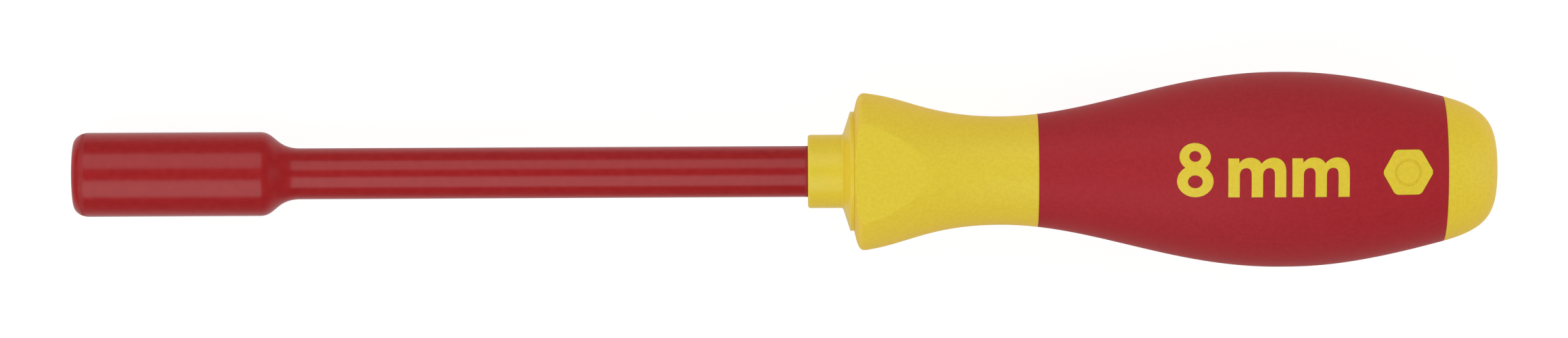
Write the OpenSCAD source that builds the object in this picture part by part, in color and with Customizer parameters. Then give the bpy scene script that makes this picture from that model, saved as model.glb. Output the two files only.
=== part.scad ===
// Insulated nut driver: a steel hexagon socket blade in a moulded sleeve, set in a moulded handle.
// The origin is the centre of the socket's mouth, and +X runs along the tool towards its butt.
// One flat of the guard and the hexagon mark face +Z.

/* [Drive socket] */
// Width across the flats of the nut that the socket drives
nut_af = 8; // [7:0.5:10]
// Play between the nut and the socket, across the flats
nut_play = 0.1; // [0.05:0.05:0.3]
// Depth of the hexagon behind the steel's front face
hex_depth = 12; // [8:0.5:16]
// Steel left outside the corners of the hexagon
socket_wall = 1.25; // [1:0.05:1.8]
// Width of the conical lead-in outside the corners of the hexagon
lead_in = 0.2; // [0.1:0.05:0.35]
// Chamfer on the outer front edge of the steel
front_chamfer = 0.6; // [0.3:0.05:0.8]
// Diameter of the relief bore that takes the end of the bolt
relief_d = 6.6; // [5.6:0.1:6.9]
// Length of the relief bore behind the hexagon
relief_len = 9; // [6:0.5:13]
// Included angle of the drill point that ends the relief bore
drill_angle = 118; // [90:2:140]
// Steel between the drill point and the pocket for the shank
socket_web = 4.3; // [2:0.1:7]
// Depth of the pocket that the shank is pressed into
spigot_len = 10; // [6:0.5:14]
// Steel around the shank at the back end of the socket
neck_wall = 0.45; // [0.3:0.05:0.8]

/* [Shank] */
// Diameter of the steel bar
shank_d = 6; // [5:0.1:8]
// Length of the bar inside the handle
tang_len = 72; // [60:1:90]
// Chamfer on both ends of the bar
shank_chamfer = 0.6; // [0.3:0.1:1]
// Width over a pair of the coined wings that carry the torque
wing_w = 9.6; // [8.5:0.1:12]
// Thickness of a wing
wing_t = 2.2; // [1.5:0.1:3]
// Length of a wing
wing_len = 11; // [8:0.5:14]
// Distance from the front of one pair of wings to the front of the next
wing_pitch = 15; // [14.5:0.5:18]
// Distance from the last pair of wings to the end of the bar
wing_setback = 5; // [3:0.5:10]

/* [Insulation] */
// Length of the blade from the mouth to the handle
blade_len = 125; // [90:1:180]
// Wall of the insulation around the socket
head_wall = 1.25; // [1:0.05:2]
// Wall of the insulation along the shank
sleeve_wall = 1.35; // [1:0.01:2]
// Thickness of the lip that covers the steel's front edge
lip_t = 0.7; // [0.4:0.05:1.2]
// Room between the corners of the hexagon and the lip
mouth_gap = 0.45; // [0.3:0.05:0.6]
// Length of the rounded nose
nose_len = 2.6; // [1.5:0.1:4]
// Depth of the rounded nose, in from the head's outer face
nose_depth = 1.95; // [1:0.05:2]
// Length of the shoulder from the head down to the sleeve
shoulder_len = 6.9; // [5:0.1:12]
// Length of the sleeve inside the handle
sleeve_tail = 18; // [10:1:24]

/* [Handle front] */
// Diameter of the plain collar
collar_d = 12.5; // [11:0.05:15]
// Length of the plain collar
collar_len = 5.95; // [4:0.05:9]
// Radius on the front edge of the collar
collar_round = 0.5; // [0.2:0.1:1]
// Length of the cone between the collar and the flange
cone_len = 1.25; // [1:0.05:3]
// Diameter of the flange that the guard butts against
flange_d = 20.3; // [18.5:0.1:21]
// Thickness of the flange
flange_t = 0.65; // [0.4:0.05:1.5]

/* [Guard] */
// Largest diameter of the guard
guard_d = 27; // [24:0.05:32]
// Length of the guard's front face, from the flange to the largest diameter
guard_face_len = 2.05; // [1.5:0.05:4]
// Number of flats that stop the tool rolling away
guard_flats = 3; // [3:1:6]
// Distance from the axis to each flat
flat_dist = 10.65; // [10.6:0.05:12]
// Length of the flare from the largest diameter to the waist
flare_len = 22.75; // [18:0.25:30]
// Diameter of the waist
waist_d = 18.5; // [16.5:0.05:20]
// Length of the guard behind the waist
waist_len = 6.45; // [4:0.05:10]
// Wall of the guard over the core
guard_wall = 2.2; // [1.8:0.1:2.6]

/* [Grip] */
// Largest diameter of the grip
belly_d = 33.24; // [30:0.01:38]
// Length of the grip in front of its largest diameter
swell_len = 40.9; // [34:0.05:50]
// Length of the grip behind its largest diameter
taper_len = 28.1; // [22:0.1:36]
// Wall of the grip over the core
grip_wall = 2.4; // [1.8:0.1:3]

/* [Core] */
// Diameter of the core behind the flange
seat_d = 17.2; // [16:0.1:18]
// Number of ribs that key the guard and the grip to the core
rib_count = 4; // [2:2:8]
// Width of a rib
rib_w = 3; // [2:0.1:4]
// Height of a rib
rib_h = 1; // [0.5:0.1:1.2]
// Distance from each end of the ribs to the flange and to the cap
rib_setback = 6; // [4:0.5:12]

/* [End cap] */
// Diameter of the cap at its seam with the grip
cap_d = 24.7; // [20:0.1:28]
// Slope of the outline at that seam, in degrees
cap_angle = 15; // [10:0.1:22]
// Length of the domed cap
cap_len = 9.15; // [7:0.05:14]
// Diameter of the core's spigot that carries the cap
cap_spigot_d = 15; // [12:0.1:17]
// Length of that spigot
cap_spigot_len = 4.5; // [3:0.1:5.5]
// Radial room between the spigot and the cap
cap_fit = 0.05; // [0.02:0.01:0.1]

/* [Mark] */
// Width across the flats of the hexagon mark
mark_af = 7.6; // [6:0.1:9]
// Distance from the centre of the mark to the seam of the cap
mark_setback = 7; // [6.5:0.1:12]
// Amount by which the corners of the mark are blunted
mark_blunt = 0.05; // [0.05:0.05:0.4]
// Middle diameter of the ring that makes the mark a nut sign
mark_ring_d = 4.2; // [3:0.1:5]
// Width of the ring's groove
mark_ring_w = 0.5; // [0.3:0.1:1]
// Depth of the ring's groove
mark_ring_depth = 0.2; // [0.1:0.05:0.6]

/* [Hidden] */
$fn = 96;

steel = [0.72, 0.73, 0.75];
insulation_red = [0.61, 0.15, 0.17];
grip_red = [0.63, 0.18, 0.21];
moulded_yellow = [0.86, 0.77, 0.26];

// Overshoot of a cut past the face that it starts from
over = 1;
// Segments in each curved stretch of an outline
curve_steps = 16;
round_steps = 8;

// Socket, along +X from the mouth
hex_flat_r = (nut_af + nut_play) / 2;
hex_corner_r = hex_flat_r / cos(30);
socket_r = hex_corner_r + socket_wall;
lead_in_r = hex_corner_r + lead_in;
hex_end = lip_t + hex_depth;
relief_end = hex_end + relief_len;
drill_len = relief_d / 2 / tan(drill_angle / 2);
spigot_front = relief_end + drill_len + socket_web;
socket_back = spigot_front + spigot_len;

// Insulation, whose shoulder runs alongside the one on the steel
shank_r = shank_d / 2;
neck_r = shank_r + neck_wall;
mouth_r = hex_corner_r + mouth_gap;
head_r = socket_r + head_wall;
sleeve_r = shank_r + sleeve_wall;
nose_in = min(nose_depth, head_r - mouth_r);
shoulder_shift = head_wall / 2;
steel_shoulder = socket_back - shoulder_len;
head_len = steel_shoulder + shoulder_shift;
shoulder_pull = [0.4, 0.61];

// Handle stations along +X, each the end of one named length
flange_front = blade_len + collar_len + cone_len;
guard_front = flange_front + flange_t;
rim_at = guard_front + guard_face_len;
waist_at = rim_at + flare_len;
grip_front = waist_at + waist_len;
belly_at = grip_front + swell_len;
cap_front = belly_at + taper_len;
butt_at = cap_front + cap_len;
mark_at = cap_front - mark_setback;
cap_seat = cap_front + cap_spigot_len;

// Handle radii
collar_r = collar_d / 2;
flange_r = flange_d / 2;
rim_r = guard_d / 2;
waist_r = waist_d / 2;
belly_r = belly_d / 2;
cap_r = cap_d / 2;
seat_r = seat_d / 2;
cap_spigot_r = cap_spigot_d / 2;

// Lengths of the curve handles, as shares of the stretch that each curve spans
flare_slope = 0.17;
face_pull = [0.3, 0.9];
face_tail = 0.5;
flare_pull = [0.32, 0.505];
swell_pull = [0.33, 0.39];
taper_pull = [0.2, 0.56];
dome_pull = [0.94, 0.56];
cone_fillet = [0.35, 0.25];

// Point at t on the curve with ends a and d and handles b and c
function curve_point(a, b, c, d, t) =
    pow(1 - t, 3) * a + 3 * pow(1 - t, 2) * t * b + 3 * (1 - t) * t * t * c + pow(t, 3) * d;

// Points along that curve, both ends included
function curve(a, b, c, d) =
    [for (i = [0 : curve_steps]) curve_point(a, b, c, d, i / curve_steps)];

// Points of a quarter of an oval, from a front face at x out to radius r
function nose(x, r, length, depth) =
    [for (i = [0 : round_steps])
        let (a = 90 * i / round_steps)
        [x + length * (1 - cos(a)), r - depth * (1 - sin(a))]];

function reversed(list) = [for (i = [len(list) - 1 : -1 : 0]) list[i]];

// Points of an outline lowered by a wall, and kept under a largest radius
function lowered(points, wall, most) = [for (p = points) [p[0], min(p[1] - wall, most)]];

// S-shaped shoulder from radius r1 at x to radius r2
function shoulder(x, r1, r2) =
    curve([x, r1],
          [x + shoulder_pull[0] * shoulder_len, r1],
          [x + (1 - shoulder_pull[1]) * shoulder_len, r2],
          [x + shoulder_len, r2]);

// Outer outline of the steel socket, from its front face to its back end
function socket_outline() = concat(
    [[lip_t, socket_r - front_chamfer], [lip_t + front_chamfer, socket_r]],
    shoulder(steel_shoulder, socket_r, neck_r));

// Front face of the guard, from the flange out to the rim
function guard_face() =
    curve([guard_front, flange_r],
          [guard_front + face_pull[0] * guard_face_len,
           flange_r + face_pull[1] * (rim_r - flange_r)],
          [rim_at - face_tail * guard_face_len, rim_r + flare_slope * face_tail * guard_face_len],
          [rim_at, rim_r]);

// Flare of the guard, from the rim in to the waist
function flare() =
    curve([rim_at, rim_r],
          [rim_at + flare_pull[0] * flare_len, rim_r - flare_slope * flare_pull[0] * flare_len],
          [waist_at - flare_pull[1] * flare_len, waist_r],
          [waist_at, waist_r]);

// Swell from the waist to the belly, over the length behind the waist and the front of the grip
function swell_point(t) =
    curve_point([waist_at, waist_r],
                [waist_at + swell_pull[0] * (belly_at - waist_at), waist_r],
                [belly_at - swell_pull[1] * (belly_at - waist_at), belly_r],
                [belly_at, belly_r],
                t);

// Curve parameter at which the swell passes x, by halving the span between low and high
function swell_at(x, low = 0, high = 1, halvings = 30) =
    halvings == 0
        ? (low + high) / 2
        : let (middle = (low + high) / 2)
          swell_point(middle)[0] < x
              ? swell_at(x, middle, high, halvings - 1)
              : swell_at(x, low, middle, halvings - 1);

seam_t = swell_at(grip_front);

// Part of the swell that belongs to the guard
function guard_tail() =
    [for (i = [0 : round_steps]) swell_point(seam_t * i / round_steps)];

// Outer outline of the grip, from the guard to the cap
function grip_outline() = concat(
    [for (i = [0 : curve_steps]) swell_point(seam_t + (1 - seam_t) * i / curve_steps)],
    curve([belly_at, belly_r],
          [belly_at + taper_pull[0] * taper_len, belly_r],
          [cap_front - taper_pull[1] * taper_len, cap_r + tan(cap_angle) * taper_pull[1] * taper_len],
          [cap_front, cap_r]));

// Outline of the domed cap, from the grip to the axis
function dome() =
    curve([cap_front, cap_r],
          [cap_front + dome_pull[0] * cap_len, cap_r - tan(cap_angle) * dome_pull[0] * cap_len],
          [butt_at, dome_pull[1] * cap_r],
          [butt_at, 0]);

// Outline of the core under the guard and under the grip
function core_under_guard() = concat(
    [[guard_front, seat_r]],
    lowered(flare(), guard_wall, seat_r),
    lowered(guard_tail(), guard_wall, seat_r));
function core_under_grip() = lowered(grip_outline(), grip_wall, belly_r);

// Solid of revolution about the tool's axis, from an outline of [x, radius] points
module turned(outline) {
    rotate([0, 90, 0])
        rotate_extrude()
            polygon([for (p = outline) [p[1], p[0]]]);
}

// Straight prism along +X from x, with a flat facing +Z where the number of sides is odd
module bar(x, length, radius, sides = $fn) {
    translate([x, 0, 0])
        rotate([0, 90, 0])
            cylinder(h = length, r = radius, $fn = sides);
}

// Ribs that stand on the core, as far as the outline raised by their height
module core_ribs() {
    rib_front = guard_front + rib_setback;
    rib_len = cap_front - rib_setback - rib_front;
    raised = concat([[guard_front, 0]],
                    lowered(concat(core_under_guard(), core_under_grip()), -rib_h, belly_r),
                    [[cap_front, 0]]);
    intersection() {
        turned(raised);
        for (i = [0 : rib_count - 1]) {
            rotate([180 / rib_count + 360 * i / rib_count, 0, 0])
                translate([rib_front, -rib_w / 2, 0])
                    cube([rib_len, rib_w, belly_r]);
        }
    }
}

// Steel bar with its two crossed pairs of wings
module shank_bar() {
    bar_end = blade_len + tang_len;
    turned([[spigot_front, 0],
            [spigot_front, shank_r - shank_chamfer],
            [spigot_front + shank_chamfer, shank_r],
            [bar_end - shank_chamfer, shank_r],
            [bar_end, shank_r - shank_chamfer],
            [bar_end, 0]]);
    for (i = [0 : 1]) {
        rotate([90 * i, 0, 0])
            translate([bar_end - wing_setback - wing_len - wing_pitch * i, -wing_w / 2, -wing_t / 2])
                cube([wing_len, wing_w, wing_t]);
    }
}

// Hexagonal column through the grip's wall, where the mark sits
module mark_column() {
    mark_r = mark_af / 2 / cos(30);
    translate([mark_at, 0, 0])
        linear_extrude(height = belly_r)
            intersection() {
                circle(r = mark_r, $fn = 6);
                circle(r = mark_r - mark_blunt);
            }
}

// Layer of the grip between two depths below its outer face
module grip_layer(top, bottom) {
    turned(concat(lowered(grip_outline(), top, belly_r),
                  reversed(lowered(grip_outline(), bottom, belly_r))));
}

module drive_socket() {
    color(steel)
        difference() {
            turned(concat([[lip_t, 0]], socket_outline(), [[socket_back, 0]]));
            rotate([30, 0, 0])
                bar(lip_t - over, hex_depth + over, hex_corner_r, 6);
            turned([[lip_t - over, 0],
                    [lip_t - over, lead_in_r + over],
                    [lip_t + lead_in_r, 0]]);
            bar(hex_end - over, relief_len + over, relief_d / 2);
            turned([[relief_end, 0], [relief_end, relief_d / 2], [relief_end + drill_len, 0]]);
            bar(spigot_front, spigot_len + over, shank_r);
        }
}

module shank() {
    color(steel)
        shank_bar();
}

module blade_insulation() {
    tail_end = blade_len + sleeve_tail;
    color(insulation_red)
        turned(concat([[0, mouth_r]],
                      nose(0, head_r, nose_len, nose_in),
                      shoulder(head_len, head_r, sleeve_r),
                      [[tail_end, sleeve_r], [tail_end, shank_r], [socket_back, shank_r]],
                      reversed(socket_outline()),
                      [[lip_t, mouth_r]]));
}

module handle_core() {
    cone_rise = flange_r - collar_r;
    color(moulded_yellow)
        difference() {
            union() {
                turned(concat([[blade_len, 0]],
                              nose(blade_len, collar_r, collar_round, collar_round),
                              curve([blade_len + collar_len - cone_fillet[0] * cone_len, collar_r],
                                    [blade_len + collar_len, collar_r],
                                    [blade_len + collar_len, collar_r],
                                    [blade_len + collar_len + cone_fillet[1] * cone_len,
                                     collar_r + cone_fillet[1] * cone_rise]),
                              [[flange_front, flange_r], [guard_front, flange_r]],
                              core_under_guard(),
                              core_under_grip(),
                              [[cap_front, cap_spigot_r], [cap_seat, cap_spigot_r], [cap_seat, 0]]));
                core_ribs();
            }
            bar(blade_len - over, sleeve_tail + over, sleeve_r);
            shank_bar();
        }
}

module front_guard() {
    color(moulded_yellow)
        difference() {
            intersection() {
                turned(concat(guard_face(), flare(), guard_tail(), reversed(core_under_guard())));
                bar(guard_front - over, grip_front - guard_front + 2 * over,
                    flat_dist / cos(180 / guard_flats), guard_flats);
            }
            core_ribs();
        }
}

module soft_grip() {
    color(grip_red)
        difference() {
            grip_layer(0, grip_wall);
            core_ribs();
            mark_column();
        }
}

module hex_mark() {
    color(moulded_yellow)
        difference() {
            intersection() {
                grip_layer(0, grip_wall);
                mark_column();
            }
            intersection() {
                grip_layer(-over, mark_ring_depth);
                translate([mark_at, 0, 0])
                    difference() {
                        cylinder(h = belly_r + over, d = mark_ring_d + mark_ring_w);
                        cylinder(h = belly_r + over, d = mark_ring_d - mark_ring_w);
                    }
            }
        }
}

module end_cap() {
    pocket_r = cap_spigot_r + cap_fit;
    color(moulded_yellow)
        turned(concat([[cap_front, pocket_r]], dome(), [[cap_seat, 0], [cap_seat, pocket_r]]));
}

drive_socket();
shank();
blade_insulation();
handle_core();
front_guard();
soft_grip();
hex_mark();
end_cap();
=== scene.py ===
"""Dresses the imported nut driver: turned shells, moulded finishes, a studio and the photograph's view."""

import logging
import math
from collections.abc import Iterable, Sequence
from dataclasses import dataclass, replace
from enum import Enum

import bmesh
import bpy
import numpy as np
from mathutils import Matrix, Vector


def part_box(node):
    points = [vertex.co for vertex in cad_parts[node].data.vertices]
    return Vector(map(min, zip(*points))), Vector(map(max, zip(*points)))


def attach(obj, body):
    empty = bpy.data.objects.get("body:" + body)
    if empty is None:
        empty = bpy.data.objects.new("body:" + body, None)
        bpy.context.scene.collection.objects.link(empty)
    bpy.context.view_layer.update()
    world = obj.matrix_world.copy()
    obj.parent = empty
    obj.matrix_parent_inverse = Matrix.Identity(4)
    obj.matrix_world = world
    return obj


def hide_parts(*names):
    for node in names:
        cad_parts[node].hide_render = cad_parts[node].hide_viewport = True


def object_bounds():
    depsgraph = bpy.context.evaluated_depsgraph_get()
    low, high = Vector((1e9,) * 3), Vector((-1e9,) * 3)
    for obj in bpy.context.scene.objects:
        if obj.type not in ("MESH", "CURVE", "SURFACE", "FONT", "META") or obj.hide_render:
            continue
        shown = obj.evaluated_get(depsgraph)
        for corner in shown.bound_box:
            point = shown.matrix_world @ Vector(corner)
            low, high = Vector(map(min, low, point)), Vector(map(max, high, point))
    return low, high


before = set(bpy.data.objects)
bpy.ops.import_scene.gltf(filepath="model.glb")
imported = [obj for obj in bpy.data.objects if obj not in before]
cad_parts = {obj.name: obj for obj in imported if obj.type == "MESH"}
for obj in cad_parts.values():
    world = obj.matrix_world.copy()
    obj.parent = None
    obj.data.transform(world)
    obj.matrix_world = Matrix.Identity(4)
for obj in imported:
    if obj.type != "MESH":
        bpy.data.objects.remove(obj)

CAD_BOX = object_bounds()
BODY = "root"
MM = 0.001
HEXAGON = 6
LOG = logging.getLogger("nut_driver")

Point = tuple[float, float]
Colour = tuple[float, float, float]
Fed = bpy.types.NodeSocket | float | int | Sequence[float]

WHITE: Colour = (1.0, 1.0, 1.0)


class Slot(Enum):
    """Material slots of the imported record."""

    STEEL = "steel"
    INSULATION = "insulation"
    HARD = "hard_plastic"
    SOFT = "soft_grip"


class Cut(Enum):
    """What a cutting tool leaves of a piece."""

    AWAY = "DIFFERENCE"
    COMMON = "INTERSECT"
    JOINED = "UNION"


class Side(Enum):
    """Where a soft box stands: the way to it over the table, as (x, y)."""

    FAR = (0, 1)
    NEAR = (0, -1)
    TIP = (-1, 0)
    BUTT = (1, 0)


class Mixed(Enum):
    """What a mix node mixes: its data type, then the places of its two inputs and of its output."""

    NUMBERS = ("FLOAT", 2, 3, 0)
    COLOURS = ("RGBA", 6, 7, 2)


def opaque(colour: Colour) -> tuple[float, float, float, float]:
    """Returns a colour with full alpha, as colour sockets take it."""
    return (*colour, 1.0)


def hexagon_corner(flat: float) -> float:
    """Returns how far a hexagon's corners are from its middle, from how far its flats are."""
    return flat / math.cos(math.pi / HEXAGON)


def bezier(a: Point, b: Point, c: Point, d: Point, steps: int) -> list[Point]:
    """Samples a cubic curve.

    Args:
        a: Start of the curve.
        b: Handle of the start.
        c: Handle of the end.
        d: End of the curve.
        steps: Number of stretches between the points.

    Returns:
        The points along the curve, both ends included.
    """
    t = np.linspace(0.0, 1.0, steps + 1)[:, None]
    ends = (1 - t) ** 3 * np.array(a) + t**3 * np.array(d)
    handles = 3 * (1 - t) ** 2 * t * np.array(b) + 3 * (1 - t) * t**2 * np.array(c)
    return [(float(x), float(r)) for x, r in ends + handles]


def lowered(points: Iterable[Point], wall: float, most: float = math.inf) -> list[Point]:
    """Moves an outline towards the axis.

    Args:
        points: The outline's points.
        wall: How far each point moves in.
        most: Largest radius that is left.

    Returns:
        The moved points.
    """
    return [(x, min(r - wall, most)) for x, r in points]


class Outline:
    """Half section of a turned piece, as (x, radius) corners walked in order."""

    ROUND_STEPS = 5
    REACH = 0.45

    def __init__(self) -> None:
        """Starts an outline with no corners."""
        self._corners: list[tuple[float, float, float]] = []

    def to(self, x: float, radius: float, rounding: float = 0.0) -> "Outline":
        """Adds a corner.

        Args:
            x: Place along the tool.
            radius: Distance from the axis.
            rounding: Radius that the corner is rounded with.

        Returns:
            The outline itself.
        """
        self._corners.append((x, radius, rounding))
        return self

    def along(self, points: Sequence[Point], first: float = 0.0, last: float = 0.0) -> "Outline":
        """Adds the points of a curve.

        Args:
            points: The curve's points in order.
            first: Rounding of the first point.
            last: Rounding of the last point.

        Returns:
            The outline itself.
        """
        ends = {0: first, len(points) - 1: last}
        for index, (x, radius) in enumerate(points):
            self.to(x, radius, ends.get(index, 0.0))
        return self

    def closed(self) -> list[Point]:
        """Rounds the corners and closes the outline.

        Returns:
            Its points, with the first one once more at the end.
        """
        places = [np.array(corner[:2]) for corner in self._corners]
        points: list[Point] = []
        for index, (x, radius, rounding) in enumerate(self._corners):
            if rounding <= 0.0:
                points.append((x, radius))
                continue
            before = places[index - 1] - places[index]
            after = places[(index + 1) % len(places)] - places[index]
            points.extend(self._rounded(places[index], before, after, rounding))
        return [*points, points[0]]

    def _rounded(
        self, corner: np.ndarray, before: np.ndarray, after: np.ndarray, rounding: float
    ) -> list[Point]:
        """Rounds one corner.

        Args:
            corner: The corner's place.
            before: The way back to the corner before it.
            after: The way on to the corner after it.
            rounding: Radius of the rounding.

        Returns:
            Points from one side of the corner to the other.
        """
        short = min(np.linalg.norm(before), np.linalg.norm(after))
        before = before / np.linalg.norm(before)
        after = after / np.linalg.norm(after)
        half = math.acos(float(np.clip(before @ after, -1.0, 1.0))) / 2
        reach = min(rounding / math.tan(half), self.REACH * short)
        t = np.linspace(0.0, 1.0, self.ROUND_STEPS + 1)[:, None]
        arc = corner + reach * ((1 - t) ** 2 * before + t**2 * after)
        return [(float(x), float(r)) for x, r in arc]


class Graph:
    """Adds nodes and links to a node tree in few words."""

    def __init__(self, tree: bpy.types.NodeTree) -> None:
        """Works on one tree.

        Args:
            tree: Tree that the nodes go into.
        """
        self.tree = tree

    @classmethod
    def emptied(cls, owner: bpy.types.Material | bpy.types.World) -> "Graph":
        """Starts on the tree of a material or a world.

        Args:
            owner: Material or world whose default nodes are removed.

        Returns:
            The graph of its tree.
        """
        owner.use_nodes = True
        owner.node_tree.nodes.clear()
        return cls(owner.node_tree)

    def node(
        self, kind: str, fed: dict[str | int, Fed] | None = None, **settings: object
    ) -> bpy.types.Node:
        """Adds a node.

        Args:
            kind: Blender's name of the node type.
            fed: Value or output socket for each input, by name or place.
            **settings: Properties of the node, set before its inputs.

        Returns:
            The new node.
        """
        made = self.tree.nodes.new(kind)
        for key, value in settings.items():
            setattr(made, key, value)
        for key, value in (fed or {}).items():
            if isinstance(value, bpy.types.NodeSocket):
                self.tree.links.new(value, made.inputs[key])
            else:
                made.inputs[key].default_value = value
        return made

    def math(self, operation: str, *values: Fed) -> bpy.types.NodeSocket:
        """Adds a math node.

        Args:
            operation: Blender's name of the operation.
            *values: Its inputs in order.

        Returns:
            The node's output.
        """
        return self.node("ShaderNodeMath", dict(enumerate(values)), operation=operation).outputs[0]

    def noise(self, vector: Fed, scale: Fed, detail: float) -> bpy.types.NodeSocket:
        """Adds a noise texture.

        Args:
            vector: Coordinates.
            scale: Features in a metre.
            detail: Octaves of finer noise.

        Returns:
            The noise's grey output.
        """
        fed = {"Vector": vector, "Scale": scale, "Detail": detail}
        return self.node("ShaderNodeTexNoise", fed).outputs[0]

    def mix(
        self, kind: Mixed, factor: Fed, first: Fed, second: Fed, way: str = "MIX"
    ) -> bpy.types.NodeSocket:
        """Adds a mix of two numbers or colours.

        Args:
            kind: What is mixed.
            factor: Share of the second one.
            first: Number or colour at a share of 0.
            second: Number or colour that comes in with the share.
            way: Blender's name of the way that colours are mixed.

        Returns:
            The mixed number or colour.
        """
        data_type, first_place, second_place, result = kind.value
        fed = {"Factor": factor, first_place: first, second_place: second}
        return self.node("ShaderNodeMix", fed, data_type=data_type, blend_type=way).outputs[result]

    def blend(self, factor: Fed, first: bpy.types.Node, second: bpy.types.Node) -> bpy.types.Node:
        """Adds a mix of two shaders.

        Args:
            factor: Share of the second one.
            first: Shader at a share of 0.
            second: Shader at a share of 1.

        Returns:
            The mix.
        """
        return self.node("ShaderNodeMixShader", {0: factor, 1: first.outputs[0], 2: second.outputs[0]})

    def ranged(
        self, value: Fed, span: Sequence[Fed], to: Point = (0.0, 1.0), curve: str = "LINEAR"
    ) -> bpy.types.NodeSocket:
        """Adds a map range node.

        Args:
            value: Number that is mapped.
            span: Range that it comes from.
            to: Range that it is mapped to, and held in.
            curve: Blender's name of the interpolation.

        Returns:
            The mapped number.
        """
        fed = {"Value": value, "From Min": span[0], "From Max": span[1], "To Min": to[0], "To Max": to[1]}
        return self.node("ShaderNodeMapRange", fed, interpolation_type=curve).outputs[0]


class TurnedTree:
    """Geometry Nodes tree that turns an outline about the X axis and planes flats on it."""

    WELD = 2e-7
    INPUTS = {
        "Outline": "NodeSocketGeometry",
        "Segments": "NodeSocketInt",
        "Flats": "NodeSocketInt",
        "Flat Distance": "NodeSocketFloat",
        "Edge Softness": "NodeSocketFloat",
        "Finish": "NodeSocketMaterial",
    }

    def __init__(self) -> None:
        """Builds the tree once for all pieces."""
        self.tree = bpy.data.node_groups.new("TurnedPiece", "GeometryNodeTree")
        self.tree.is_modifier = True
        self.sockets = {
            name: self.tree.interface.new_socket(name, in_out="INPUT", socket_type=kind).identifier
            for name, kind in self.INPUTS.items()
        }
        self.tree.interface.new_socket("Piece", in_out="OUTPUT", socket_type="NodeSocketGeometry")
        self._wire()

    def _wire(self) -> None:
        """Adds the nodes: a grid of outline points by segments, wrapped round the axis."""
        g = Graph(self.tree)
        given = g.node("NodeGroupInput").outputs
        size = g.node("GeometryNodeAttributeDomainSize", {0: given["Outline"]}, component="MESH")
        count = size.outputs["Point Count"]
        span = g.math("SUBTRACT", count, 1.0)
        columns = g.math("ADD", given["Segments"], 1.0)
        grid = g.node(
            "GeometryNodeMeshGrid",
            {"Size X": span, "Size Y": 1.0, "Vertices X": count, "Vertices Y": columns},
        ).outputs["Mesh"]
        place = g.node("GeometryNodeInputPosition").outputs[0]
        cell = g.node("ShaderNodeSeparateXYZ", {0: place}).outputs
        row = g.math("ROUND", g.math("ADD", cell["X"], g.math("MULTIPLY", span, 0.5)))
        corner = g.node(
            "GeometryNodeSampleIndex",
            {"Geometry": given["Outline"], "Value": place, "Index": row},
            data_type="FLOAT_VECTOR",
            domain="POINT",
        ).outputs[0]
        section = g.node("ShaderNodeSeparateXYZ", {0: corner}).outputs
        angle = g.math("MULTIPLY", g.math("ADD", cell["Y"], 0.5), math.tau)
        half = g.math("DIVIDE", math.pi, given["Flats"])
        turn = g.math("WRAP", angle, half, g.math("MULTIPLY", half, -1.0))
        limit = g.math("DIVIDE", given["Flat Distance"], g.math("COSINE", turn))
        radius = g.math("SMOOTH_MIN", section["Y"], limit, given["Edge Softness"])
        wrapped = g.node(
            "ShaderNodeCombineXYZ",
            {
                "X": section["X"],
                "Y": g.math("MULTIPLY", radius, g.math("SINE", angle)),
                "Z": g.math("MULTIPLY", radius, g.math("COSINE", angle)),
            },
        ).outputs[0]
        shell = g.node("GeometryNodeSetPosition", {"Geometry": grid, "Position": wrapped}).outputs[0]
        welded = g.node("GeometryNodeMergeByDistance", {"Geometry": shell, "Distance": self.WELD})
        smooth = g.node("GeometryNodeSetShadeSmooth", {0: welded.outputs[0]})
        real = g.node("GeometryNodeRealizeInstances", {0: smooth.outputs[0]}).outputs[0]
        dressed = g.node("GeometryNodeSetMaterial", {"Geometry": real, "Material": given["Finish"]})
        g.node("NodeGroupOutput", {0: dressed.outputs[0]})


@dataclass(frozen=True)
class Flats:
    """Flats planed on a turned piece, the first one facing +Z."""

    count: int
    distance: float
    softness: float


NO_FLATS = Flats(count=3, distance=1.0, softness=0.0)


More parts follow.
